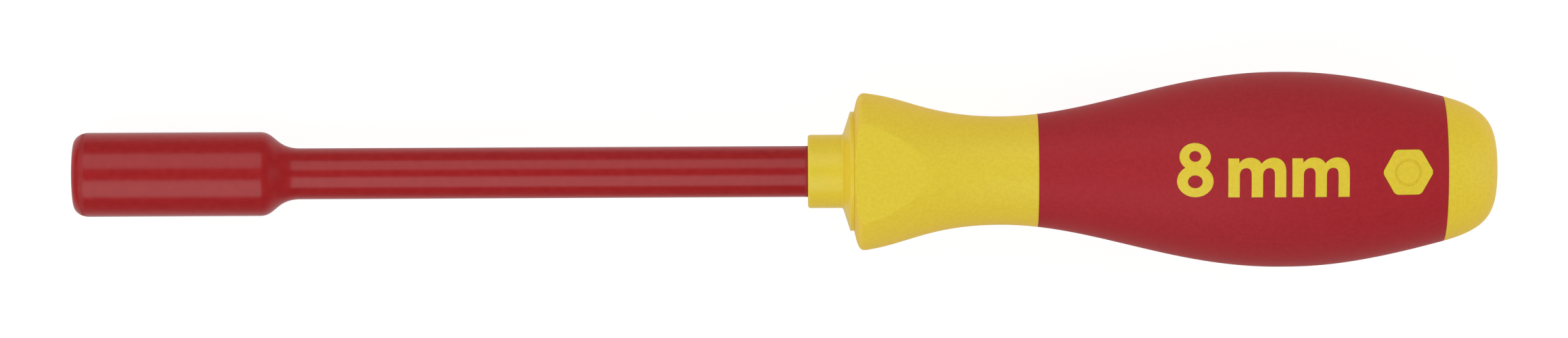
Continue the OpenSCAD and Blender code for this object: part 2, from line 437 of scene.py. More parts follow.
class Workshop:
    """Makes turned pieces, cuts them and hands them over to the frame."""

    SHARP_ANGLE = math.radians(32)

    def __init__(self) -> None:
        """Sets up the turning tree."""
        self.turned = TurnedTree()

    def turn(
        self,
        name: str,
        outline: Sequence[Point],
        material: bpy.types.Material,
        segments: int = 256,
        flats: Flats = NO_FLATS,
    ) -> bpy.types.Object:
        """Turns an outline about the tool's axis.

        Args:
            name: Name of the piece.
            outline: Closed outline of (x, radius) points.
            material: Finish of the piece.
            segments: Faces round the axis.
            flats: Flats to plane on it. Those of NO_FLATS are too far out to touch it.

        Returns:
            The piece, with its place in its mesh.
        """
        mesh = bpy.data.meshes.new(name)
        edges = [(i, i + 1) for i in range(len(outline) - 1)]
        mesh.from_pydata([(x, r, 0.0) for x, r in outline], edges, [])
        piece = self._linked(name, mesh)
        modifier = piece.modifiers.new("turned", "NODES")
        modifier.node_group = self.turned.tree
        settings = {
            "Segments": segments,
            "Flats": flats.count,
            "Flat Distance": flats.distance,
            "Edge Softness": flats.softness,
            "Finish": material,
        }
        for label, value in settings.items():
            modifier[self.turned.sockets[label]] = value
        self.bake(piece)
        return piece

    def prism(self, name: str, loop: Sequence[Point], low: float, high: float) -> bpy.types.Object:
        """Makes a prism that stands along Z.

        Args:
            name: Name of the piece.
            loop: Corners of its base as (x, y), in order.
            low: Height of its base.
            high: Height of its top.

        Returns:
            The prism.
        """
        count = len(loop)
        corners = [(x, y, z) for z in (low, high) for x, y in loop]
        sides = [(i, (i + 1) % count, count + (i + 1) % count, count + i) for i in range(count)]
        ends = [tuple(range(count)), tuple(range(count, 2 * count))]
        mesh = bpy.data.meshes.new(name)
        mesh.from_pydata(corners, [], sides + ends)
        piece = self._linked(name, mesh)
        self.clean(piece)
        return piece

    def cut(self, piece: bpy.types.Object, tool: bpy.types.Object, kind: Cut) -> None:
        """Cuts a piece with a tool.

        Args:
            piece: Piece that is cut.
            tool: Closed solid that cuts it.
            kind: What is left of the piece.
        """
        modifier = piece.modifiers.new("cut", "BOOLEAN")
        modifier.operation = kind.value
        modifier.solver = "EXACT"
        modifier.object = tool
        self.bake(piece)

    def discard(self, *tools: bpy.types.Object) -> None:
        """Removes tools that have done their cutting.

        Args:
            *tools: Objects to remove.
        """
        for tool in tools:
            bpy.data.objects.remove(tool)

    def bake(self, piece: bpy.types.Object) -> None:
        """Turns the result of a piece's modifiers into its plain mesh.

        Args:
            piece: Piece whose modifiers end here.
        """
        evaluated = piece.evaluated_get(bpy.context.evaluated_depsgraph_get())
        mesh = bpy.data.meshes.new_from_object(evaluated)
        piece.modifiers.clear()
        piece.data = mesh
        self.clean(piece)

    def clean(self, piece: bpy.types.Object) -> None:
        """Merges doubles, turns the faces outwards and splits the shading at sharp edges.

        Args:
            piece: Piece whose mesh is cleaned.
        """
        shape = bmesh.new()
        shape.from_mesh(piece.data)
        bmesh.ops.remove_doubles(shape, verts=shape.verts, dist=TurnedTree.WELD)
        bmesh.ops.dissolve_degenerate(shape, edges=shape.edges, dist=TurnedTree.WELD)
        bmesh.ops.recalc_face_normals(shape, faces=shape.faces)
        for face in shape.faces:
            face.smooth = True
        shape.to_mesh(piece.data)
        shape.free()
        piece.data.set_sharp_from_angle(angle=self.SHARP_ANGLE)

    def reshape(self, piece: bpy.types.Object, places: np.ndarray) -> None:
        """Moves the vertices of a piece.

        Args:
            piece: Piece that is reshaped.
            places: New place of each vertex, one row each.
        """
        piece.data.vertices.foreach_set("co", places.astype(np.float32).ravel())
        piece.data.update()

    def places(self, piece: bpy.types.Object) -> np.ndarray:
        """Reads the vertices of a piece.

        Args:
            piece: Piece that is read.

        Returns:
            Place of each vertex, one row each.
        """
        flat = np.zeros(len(piece.data.vertices) * 3, np.float32)
        piece.data.vertices.foreach_get("co", flat)
        return flat.reshape(-1, 3).astype(float)

    def deliver(self, piece: bpy.types.Object, slot: Slot, *nodes: str) -> None:
        """Puts a finished piece on the tool's body.

        Args:
            piece: Finished piece.
            slot: Material slot of the piece; not used.
            *nodes: Nodes that it stands for.
        """
        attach(piece, BODY)
        if nodes:
            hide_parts(*nodes)
        triangles = sum(len(face.vertices) - 2 for face in piece.data.polygons)
        LOG.info("%s: %d triangles, replaces %s", piece.name, triangles, ", ".join(nodes) or "nothing")

    def _linked(self, name: str, data: bpy.types.ID) -> bpy.types.Object:
        """Makes an object in the scene.

        Args:
            name: Name of the object.
            data: Its mesh or curve.

        Returns:
            The object.
        """
        made = bpy.data.objects.new(name, data)
        bpy.context.scene.collection.objects.link(made)
        return made


class SurfaceGroups:
    """Shader node groups that more than one finish uses."""

    MOTTLE_DETAIL = 3.0
    MOTTLE_SPAN = (0.35, 0.65)
    GRAIN_DETAIL = 2.0
    FINE_DETAIL = 1.0
    FINE_RATIO = 3.1

    def __init__(self) -> None:
        """Builds each group once."""
        self.moulded = self._moulded()
        self.seam = self._seam_shade_and_grime()

    def _group(self, name: str, inputs: dict[str, str], outputs: dict[str, str]) -> bpy.types.NodeTree:
        """Makes an empty group.

        Args:
            name: Name of the group.
            inputs: Socket type of each input.
            outputs: Socket type of each output.

        Returns:
            The group.
        """
        tree = bpy.data.node_groups.new(name, "ShaderNodeTree")
        for label, kind in inputs.items():
            tree.interface.new_socket(label, in_out="INPUT", socket_type=kind)
        for label, kind in outputs.items():
            tree.interface.new_socket(label, in_out="OUTPUT", socket_type=kind)
        return tree

    def _moulded(self) -> bpy.types.NodeTree:
        """Builds the skin of a moulded plastic: mottled colour, eroded grain and uneven gloss.

        Returns:
            The group.
        """
        number = "NodeSocketFloat"
        tree = self._group(
            "MouldedSkin",
            {
                "Coordinates": "NodeSocketVector",
                "Colour": "NodeSocketColor",
                "Mottle Colour": "NodeSocketColor",
                "Mottle Scale": number,
                "Mottle Amount": number,
                "Grain Scale": number,
                "Fine Grain Share": number,
                "Roughness": number,
                "Roughness Swing": number,
            },
            {"Colour": "NodeSocketColor", "Roughness": number, "Height": number},
        )
        g = Graph(tree)
        given = g.node("NodeGroupInput").outputs
        place = given["Coordinates"]
        blotch = g.noise(place, given["Mottle Scale"], self.MOTTLE_DETAIL)
        patch = g.ranged(blotch, self.MOTTLE_SPAN, curve="SMOOTHSTEP")
        share = g.math("MULTIPLY", patch, given["Mottle Amount"])
        colour = g.mix(Mixed.COLOURS, share, given["Colour"], given["Mottle Colour"])
        coarse = g.noise(place, given["Grain Scale"], self.GRAIN_DETAIL)
        fine_scale = g.math("MULTIPLY", given["Grain Scale"], self.FINE_RATIO)
        fine = g.noise(place, fine_scale, self.FINE_DETAIL)
        height = g.mix(Mixed.NUMBERS, given["Fine Grain Share"], coarse, fine)
        uneven = g.math("SUBTRACT", g.math("ADD", blotch, coarse), 1.0)
        swing = g.math("MULTIPLY", uneven, given["Roughness Swing"])
        roughness = g.math("ADD", given["Roughness"], swing)
        g.node("NodeGroupOutput", {"Colour": colour, "Roughness": roughness, "Height": height})
        return tree

    def _seam_shade_and_grime(self) -> bpy.types.NodeTree:
        """Builds the faint, matt darkening at a seam square to the tool's axis: painted shade in the joint,
        with some grime.

        Returns:
            The group.
        """
        number = "NodeSocketFloat"
        tree = self._group(
            "SeamShadeAndGrime",
            {
                "Coordinates": "NodeSocketVector",
                "Colour": "NodeSocketColor",
                "Shade And Grime Colour": "NodeSocketColor",
                "Station": number,
                "Width": number,
                "Amount": number,
            },
            {"Colour": "NodeSocketColor", "Mask": number},
        )
        g = Graph(tree)
        given = g.node("NodeGroupInput").outputs
        along = g.node("ShaderNodeSeparateXYZ", {0: given["Coordinates"]}).outputs["X"]
        distance = g.math("ABSOLUTE", g.math("SUBTRACT", along, given["Station"]))
        near = g.ranged(distance, (given["Width"], 0.0), curve="SMOOTHSTEP")
        share = g.math("MULTIPLY", near, given["Amount"])
        colour = g.mix(Mixed.COLOURS, share, given["Colour"], given["Shade And Grime Colour"])
        g.node("NodeGroupOutput", {"Colour": colour, "Mask": near})
        return tree


@dataclass(frozen=True)
class MouldedFinish:
    """Finish of a moulded plastic, with its seams."""

    name: str
    colour: Colour
    mottle_colour: Colour
    mottle_scale: float
    mottle_amount: float
    grain_scale: float
    fine_grain_share: float
    grain_depth: float
    roughness: float
    roughness_swing: float
    specular: float
    sheen: float = 0.0
    sheen_roughness: float = 0.5
    sheen_tint: Colour = WHITE
    # Painted shade: the colour is multiplied by this tint towards grazing edges, which warms the shaded
    # sides
    painted_edge_shade_tint: Colour = WHITE
    # Seams: a band of painted shade, with some grime, and a matter finish at each joint
    seam_dirt: Colour = (0.0, 0.0, 0.0)
    seam_width: float = 0.3 * MM
    seam_shade_and_grime_amount: float = 0.2
    seam_matt: float = 0.05

    def material(self, groups: SurfaceGroups, seams: Sequence[float]) -> bpy.types.Material:
        """Builds the material.

        Args:
            groups: Shared node groups.
            seams: Stations of the seams along the tool.

        Returns:
            The material.
        """
        made = bpy.data.materials.new(self.name)
        made.diffuse_color = opaque(self.colour)
        g = Graph.emptied(made)
        place = g.node("ShaderNodeTexCoord").outputs["Object"]
        values = {
            "Coordinates": place,
            "Colour": opaque(self.colour),
            "Mottle Colour": opaque(self.mottle_colour),
            "Mottle Scale": self.mottle_scale,
            "Mottle Amount": self.mottle_amount,
            "Grain Scale": self.grain_scale,
            "Fine Grain Share": self.fine_grain_share,
            "Roughness": self.roughness,
            "Roughness Swing": self.roughness_swing,
        }
        skin = g.node("ShaderNodeGroup", values, node_tree=groups.moulded).outputs
        colour = skin["Colour"]
        roughness = skin["Roughness"]
        # Each seam darkens the colour in a band round its station: painted shade in the joint, with some
        # grime
        for station in seams:
            line = {
                "Coordinates": place,
                "Colour": colour,
                "Shade And Grime Colour": opaque(self.seam_dirt),
                "Station": station,
                "Width": self.seam_width,
                "Amount": self.seam_shade_and_grime_amount,
            }
            seam = g.node("ShaderNodeGroup", line, node_tree=groups.seam).outputs
            colour = seam["Colour"]
            roughness = g.math("ADD", roughness, g.math("MULTIPLY", seam["Mask"], self.seam_matt))
        # Painted shade: towards grazing edges the colour is multiplied by a tint that warms the shaded
        # sides
        facing = g.node("ShaderNodeLayerWeight").outputs["Facing"]
        colour = g.mix(Mixed.COLOURS, facing, colour, opaque(self.painted_edge_shade_tint), "MULTIPLY")
        grain = {"Height": skin["Height"], "Strength": 1.0, "Distance": self.grain_depth}
        bump = g.node("ShaderNodeBump", grain)
        shader = g.node(
            "ShaderNodeBsdfPrincipled",
            {
                "Base Color": colour,
                "Roughness": roughness,
                "Normal": bump.outputs[0],
                "Specular IOR Level": self.specular,
                "Sheen Weight": self.sheen,
                "Sheen Roughness": self.sheen_roughness,
                "Sheen Tint": opaque(self.sheen_tint),
            },
        )
        g.node("ShaderNodeOutputMaterial", {"Surface": shader.outputs[0]})
        return made


@dataclass(frozen=True)
class SteelFinish:
    """Matt chromed steel with fine turning marks round the tool's axis."""

    name: str = "matt_chromed_steel"
    colour: Colour = (0.58, 0.58, 0.59)
    roughness: float = 0.34
    mark_scale: float = 5000.0
    mark_detail: float = 2.0
    mark_depth: float = 0.003 * MM
    marks_per_cloud: float = 12.0
    cloud_detail: float = 3.0
    roughness_swing: float = 0.12

    def material(self) -> bpy.types.Material:
        """Builds the material.

        Returns:
            The material.
        """
        made = bpy.data.materials.new(self.name)
        g = Graph.emptied(made)
        place = g.node("ShaderNodeTexCoord").outputs["Object"]
        along = g.node("ShaderNodeSeparateXYZ", {0: place}).outputs["X"]
        line = g.node("ShaderNodeCombineXYZ", {"X": along}).outputs[0]
        marks = g.noise(line, self.mark_scale, self.mark_detail)
        cloud = g.noise(place, self.mark_scale / self.marks_per_cloud, self.cloud_detail)
        swing = g.math("MULTIPLY", g.math("SUBTRACT", cloud, 0.5), self.roughness_swing)
        roughness = g.math("ADD", self.roughness, swing)
        bump = g.node("ShaderNodeBump", {"Height": marks, "Strength": 1.0, "Distance": self.mark_depth})
        shader = g.node(
            "ShaderNodeBsdfPrincipled",
            {
                "Base Color": opaque(self.colour),
                "Metallic": 1.0,
                "Roughness": roughness,
                "Normal": bump.outputs[0],
            },
        )
        g.node("ShaderNodeOutputMaterial", {"Surface": shader.outputs[0]})
        return made


INSULATION_RED = MouldedFinish(
    name="insulation_red",
    colour=(0.315, 0.01, 0.013),
    mottle_colour=(0.345, 0.0135, 0.0165),
    mottle_scale=700.0,
    mottle_amount=0.7,
    grain_scale=2400.0,
    fine_grain_share=0.35,
    grain_depth=0.004 * MM,
    roughness=0.23,
    roughness_swing=0.08,
    specular=0.38,
    seam_dirt=(0.08, 0.004, 0.005),
    seam_width=0.75 * MM,
    seam_shade_and_grime_amount=0.02,
    seam_matt=0.3,
)
SOFT_RED = MouldedFinish(
    name="soft_grip_red",
    colour=(0.349, 0.0085, 0.0175),
    mottle_colour=(0.385, 0.0125, 0.022),
    mottle_scale=1500.0,
    mottle_amount=0.8,
    grain_scale=4200.0,
    fine_grain_share=0.5,
    grain_depth=0.03 * MM,
    roughness=0.58,
    roughness_swing=0.12,
    specular=0.32,
    sheen=0.125,
    sheen_roughness=0.35,
    sheen_tint=(1.0, 0.8, 0.76),
    seam_dirt=(0.07, 0.004, 0.006),
    seam_shade_and_grime_amount=0.08,
)
MOULDED_YELLOW = MouldedFinish(
    name="moulded_yellow",
    colour=(0.71, 0.555, 0.038),
    mottle_colour=(0.765, 0.63, 0.048),
    mottle_scale=1800.0,
    mottle_amount=0.55,
    grain_scale=3600.0,
    fine_grain_share=0.5,
    grain_depth=0.03 * MM,
    roughness=0.42,
    roughness_swing=0.12,
    specular=0.26,
    painted_edge_shade_tint=(1.1, 0.97, 1.05),
    seam_dirt=(0.5, 0.3, 0.015),
    seam_shade_and_grime_amount=0.12,
)
# Glossier yellow for the collar, with its colour painted lighter than the other yellow to make up for the
# flange's shade
COLLAR_YELLOW_PAINTED_LIGHTER = replace(
    MOULDED_YELLOW,
    name="collar_yellow_painted_lighter",
    colour=(0.725, 0.585, 0.041),
    roughness=0.3,
    roughness_swing=0.04,
    grain_depth=0.008 * MM,
    specular=0.34,
    painted_edge_shade_tint=(1.03, 0.93, 1.0),
)


@dataclass(frozen=True)
class HandleShape:
    """Outer form of the handle. Stations and main radii come from the frame, the rest are its own sizes."""

    collar_front: float
    guard_front: float
    grip_front: float
    cap_front: float
    butt: float
    belly_radius: float
    cap_radius: float
    flat_distance: float
    collar_radius: float = 6.25 * MM
    collar_length: float = 5.95 * MM
    collar_rounding: float = 0.5 * MM
    flange_radius: float = 10.15 * MM
    flange_thickness: float = 0.65 * MM
    face_length: float = 2.05 * MM
    rim_radius: float = 13.5 * MM
    waist_radius: float = 9.25 * MM
    waist_length: float = 6.45 * MM
    taper_length: float = 28.1 * MM
    face_pull: Point = (0.3, 0.9)
    face_tail: float = 0.5
    flare_slope: float = 0.17
    flare_pull: Point = (0.32, 0.505)
    swell_pull: Point = (0.33, 0.39)
    taper_pull: Point = (0.2, 0.56)
    dome_pull: Point = (0.94, 0.56)
    cap_slope: float = math.tan(math.radians(15.0))
    seat_radius: float = 8.6 * MM
    guard_wall: float = 2.2 * MM
    grip_wall: float = 2.4 * MM
    spigot_length: float = 4.5 * MM
    edge_rounding: float = 0.08 * MM
    curve_steps: int = 48

    @classmethod
    def from_frame(cls) -> "HandleShape":
        """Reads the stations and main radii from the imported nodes.

        Returns:
            The shape.
        """
        core_low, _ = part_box("handle_core")
        guard_low, guard_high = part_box("front_guard")
        grip_low, grip_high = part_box("soft_grip")
        cap_low, cap_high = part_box("end_cap")
        return cls(
            collar_front=core_low.x,
            guard_front=guard_low.x,
            grip_front=grip_low.x,
            cap_front=cap_low.x,
            butt=cap_high.x,
            belly_radius=grip_high.y,
            cap_radius=cap_high.y,
            flat_distance=guard_high.z,
        )

    @property
    def rim(self) -> float:
        """Station of the guard's largest radius."""
        return self.guard_front + self.face_length

    @property
    def waist(self) -> float:
        """Station of the waist."""
        return self.grip_front - self.waist_length

    @property
    def belly(self) -> float:
        """Station of the grip's largest radius."""
        return self.cap_front - self.taper_length

    def guard_face(self) -> list[Point]:
        """Draws the guard's front face.

        Returns:
            Points from the flange to the rim.
        """
        rise = self.rim_radius - self.flange_radius
        lead, lift = self.face_pull
        tail = self.face_tail * self.face_length
        return bezier(
            (self.guard_front, self.flange_radius),
            (self.guard_front + lead * self.face_length, self.flange_radius + lift * rise),
            (self.rim - tail, self.rim_radius + self.flare_slope * tail),
            (self.rim, self.rim_radius),
            self.curve_steps // 2,
        )

    def flare(self) -> list[Point]:
        """Draws the guard's flare.

        Returns:
            Points from the rim to the waist.
        """
        length = self.waist - self.rim
        lead, tail = (share * length for share in self.flare_pull)
        return bezier(
            (self.rim, self.rim_radius),
            (self.rim + lead, self.rim_radius - self.flare_slope * lead),
            (self.waist - tail, self.waist_radius),
            (self.waist, self.waist_radius),
            self.curve_steps,
        )

    def swell(self) -> list[Point]:
        """Draws the swell, which the guard's tail and the grip share.

        Returns:
            Points from the waist to the belly.
        """
        lead, tail = (share * (self.belly - self.waist) for share in self.swell_pull)
        return bezier(
            (self.waist, self.waist_radius),
            (self.waist + lead, self.waist_radius),
            (self.belly - tail, self.belly_radius),
            (self.belly, self.belly_radius),
            2 * self.curve_steps,
        )

    def seam_radius(self) -> float:
        """Returns the radius at the seam between the guard and the grip."""
        xs, radii = zip(*self.swell())
        return float(np.interp(self.grip_front, xs, radii))

    def guard_tail(self) -> list[Point]:
        """Returns the guard's outline behind the waist."""
        seam = (self.grip_front, self.seam_radius())
        return [p for p in self.swell()[1:] if p[0] < self.grip_front - self.edge_rounding] + [seam]

    def grip(self) -> list[Point]:
        """Draws the grip's outline.

        Returns:
            Points from the guard to the cap.
        """
        seam = (self.grip_front, self.seam_radius())
        front = [p for p in self.swell() if p[0] > self.grip_front + self.edge_rounding]
        lead, tail = (share * self.taper_length for share in self.taper_pull)
        taper = bezier(
            (self.belly, self.belly_radius),
            (self.belly + lead, self.belly_radius),
            (self.cap_front - tail, self.cap_radius + self.cap_slope * tail),
            (self.cap_front, self.cap_radius),
            self.curve_steps,
        )
        return [seam, *front, *taper[1:]]

    def dome(self) -> list[Point]:
        """Draws the cap's outline.

        Returns:
            Points from the grip to the axis.
        """
        share, blunt = self.dome_pull
        lead = share * (self.butt - self.cap_front)
        return bezier(
            (self.cap_front, self.cap_radius),
            (self.cap_front + lead, self.cap_radius - self.cap_slope * lead),
            (self.butt, blunt * self.cap_radius),
            (self.butt, 0.0),
            self.curve_steps,
        )


@dataclass(frozen=True)
class Blade:
    """Steel socket and the red insulation over it."""

    mouth_radius: float = 5.1265 * MM
    mouth_rounding: float = 0.18 * MM
    nose_length: float = 2.6 * MM
    nose_depth: float = 1.95 * MM
    witness_place: float = 1.75 * MM
    witness_width: float = 0.3 * MM
    witness_depth: float = 0.05 * MM
    shoulder_length: float = 6.9 * MM
    shoulder_pull: Point = (0.4, 0.61)
    sleeve_radius: float = 4.35 * MM
    shank_radius: float = 3.0 * MM
    neck_radius: float = 3.45 * MM
    front_chamfer: float = 0.6 * MM
    hex_flat: float = 4.05 * MM
    hex_softness: float = 0.12 * MM
    hex_depth: float = 12.0 * MM
    lead_in: float = 0.2 * MM
    relief_radius: float = 3.3 * MM
    relief_length: float = 9.0 * MM
    drill_angle: float = math.radians(118)
    spigot_length: float = 10.0 * MM
    steps: int = 40
    socket_segments: int = 192
    hex_segments: int = 360

    @property
    def witness_station(self) -> float:
        """Station of the nose's witness line."""
        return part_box("blade_insulation")[0].x + self.witness_place

    def shoulder(self, x: float, large: float, small: float) -> list[Point]:
        """Draws the S-shaped shoulder from the head to the sleeve.

        Args:
            x: Station where it starts.
            large: Radius in front of it.
            small: Radius behind it.

        Returns:
            The points of the curve.
        """
        lead, tail = self.shoulder_pull
        return bezier(
            (x, large),
            (x + lead * self.shoulder_length, large),
            (x + (1 - tail) * self.shoulder_length, small),
            (x + self.shoulder_length, small),
            self.steps,
        )

    def steel(self) -> list[Point]:
        """Draws the outside of the steel socket, which is also the inside of the insulation.

        Returns:
            Points from its front face to its back end.
        """
        low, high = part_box("drive_socket")
        front = [(low.x, high.y - self.front_chamfer), (low.x + self.front_chamfer, high.y)]
        return front + self.shoulder(high.x - self.shoulder_length, high.y, self.neck_radius)

    def build_socket(self, shop: Workshop, steel: bpy.types.Material) -> None:
        """Builds the steel socket with its hexagon and relief bore.

        Args:
            shop: Workshop that makes the piece.
            steel: Finish of the steel.
        """
        low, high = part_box("drive_socket")
        corner = hexagon_corner(self.hex_flat)
        cone = corner + self.lead_in
        hex_end = low.x + self.hex_depth
        relief_end = hex_end + self.relief_length
        drill = self.relief_radius / math.tan(self.drill_angle / 2)
        outline = (
            Outline()
            .to(relief_end + drill, 0.0)
            .to(relief_end, self.relief_radius)
            .to(low.x + cone - self.relief_radius, self.relief_radius)
            .to(low.x, cone, self.mouth_rounding)
            .along(self.steel(), first=self.mouth_rounding)
            .to(high.x, self.shank_radius)
            .to(high.x - self.spigot_length, self.shank_radius)
            .to(high.x - self.spigot_length, 0.0)
        )
        socket = shop.turn("drive_socket_steel", outline.closed(), steel, self.socket_segments)
        bar = Outline().to(-hex_end, 0.0).to(-hex_end, 2 * corner).to(hex_end, 2 * corner).to(hex_end, 0.0)
        flats = Flats(HEXAGON, self.hex_flat, self.hex_softness)
        hexagon = shop.turn("hexagon_tool", bar.closed(), steel, self.hex_segments, flats)
        shop.cut(socket, hexagon, Cut.AWAY)
        shop.discard(hexagon)
        shop.deliver(socket, Slot.STEEL, "drive_socket")

    def _nose(self, x: float, radius: float) -> list[Point]:
        """Draws the oval nose with the fine witness line of its mould.

        Args:
            x: Station of the front face.
            radius: Radius of the head.

        Returns:
            The points of the curve.
        """
        turn = np.linspace(0.0, math.pi / 2, self.steps)
        xs = x + self.nose_length * (1 - np.cos(turn))
        radii = radius - self.nose_depth * (1 - np.sin(turn))
        line = self.witness_station
        half = self.witness_width / 2
        level = float(np.interp(line, xs, radii))
        kept = [(float(a), float(r)) for a, r in zip(xs, radii)]
        front = [p for p in kept if p[0] < line - half]
        back = [p for p in kept if p[0] > line + half]
        return [*front, (line, level - self.witness_depth), *back]

    def build_insulation(self, shop: Workshop, red: bpy.types.Material) -> None:
        """Builds the insulating sleeve with its lip, nose and shoulder.

        Args:
            shop: Workshop that makes the piece.
            red: Finish of the sleeve.
        """
        low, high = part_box("blade_insulation")
        steel_low, steel_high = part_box("drive_socket")
        head = high.y
        head_end = steel_high.x - self.shoulder_length + (head - steel_high.y) / 2
        outline = (
            Outline()
            .to(steel_low.x, self.mouth_radius)
            .to(low.x, self.mouth_radius, self.mouth_rounding)
            .along(self._nose(low.x, head))
            .along(self.shoulder(head_end, head, self.sleeve_radius))
            .to(high.x, self.sleeve_radius)
            .to(high.x, self.shank_radius)
            .to(steel_high.x, self.shank_radius)
            .along(self.steel()[::-1])
        )
        sleeve = shop.turn("insulating_sleeve", outline.closed(), red)
        shop.deliver(sleeve, Slot.INSULATION, "blade_insulation")


@dataclass(frozen=True)
class Core:
    """Hard core, which shows as the collar, the cone and the flange."""

    shape: HandleShape
    blade: Blade
    sleeve_tail: float = 18.0 * MM
    tang_length: float = 72.0 * MM
    spigot_radius: float = 7.5 * MM
    flange_rounding: float = 0.05 * MM
    fillet_front: float = 0.35
    fillet_back: float = 0.25
    fillet_steps: int = 12

    def build(self, shop: Workshop, yellow: bpy.types.Material) -> None:
        """Builds the core.

        Args:
            shop: Workshop that makes the piece.
            yellow: Finish of the hard plastic.
        """
        s = self.shape
        blade = self.blade
        cone_front = s.collar_front + s.collar_length
        flange_front = s.guard_front - s.flange_thickness
        cone_length = flange_front - cone_front
        cone_rise = s.flange_radius - s.collar_radius
        base = (cone_front, s.collar_radius)
        fillet = bezier(
            (cone_front - self.fillet_front * cone_length, s.collar_radius),
            base,
            base,
            (cone_front + self.fillet_back * cone_length, s.collar_radius + self.fillet_back * cone_rise),
            self.fillet_steps,
        )
        tail_end = s.collar_front + self.sleeve_tail
        tang_end = s.collar_front + self.tang_length
        seat = s.cap_front + s.spigot_length
        outline = (
            Outline()
            .to(s.collar_front, blade.sleeve_radius, s.edge_rounding)
            .to(s.collar_front, s.collar_radius, s.collar_rounding)
            .along(fillet)
            .to(flange_front, s.flange_radius, s.edge_rounding)
            .to(s.guard_front, s.flange_radius, self.flange_rounding)
            .to(s.guard_front, s.seat_radius)
            .along(lowered(s.flare() + s.guard_tail(), s.guard_wall, s.seat_radius))
            .along(lowered(s.grip(), s.grip_wall))
            .to(s.cap_front, self.spigot_radius)
            .to(seat, self.spigot_radius)
            .to(seat, 0.0)
            .to(tang_end, 0.0)
            .to(tang_end, blade.shank_radius)
            .to(tail_end, blade.shank_radius)
            .to(tail_end, blade.sleeve_radius)
        )
        core = shop.turn("handle_core_moulding", outline.closed(), yellow)
        shop.deliver(core, Slot.HARD, "handle_core")


@dataclass(frozen=True)
class Guard:
    """Flared guard with its anti-roll flats, and the waist behind it."""

    shape: HandleShape
    flat_count: int = 3
    flat_softness: float = 0.2 * MM
    segments: int = 480

    def build(self, shop: Workshop, yellow: bpy.types.Material) -> None:
        """Builds the guard.

        Args:
            shop: Workshop that makes the piece.
            yellow: Finish of the hard plastic.
        """
        s = self.shape
        inner = [(s.guard_front, s.seat_radius)]
        inner += lowered(s.flare() + s.guard_tail(), s.guard_wall, s.seat_radius)
        outline = (
            Outline()
            .along(s.guard_face())
            .along(s.flare()[1:])
            .along(s.guard_tail(), last=s.edge_rounding)
            .along(inner[::-1])
        )
        flats = Flats(self.flat_count, s.flat_distance, self.flat_softness)
        guard = shop.turn("front_guard_shell", outline.closed(), yellow, self.segments, flats)
        shop.deliver(guard, Slot.HARD, "front_guard")


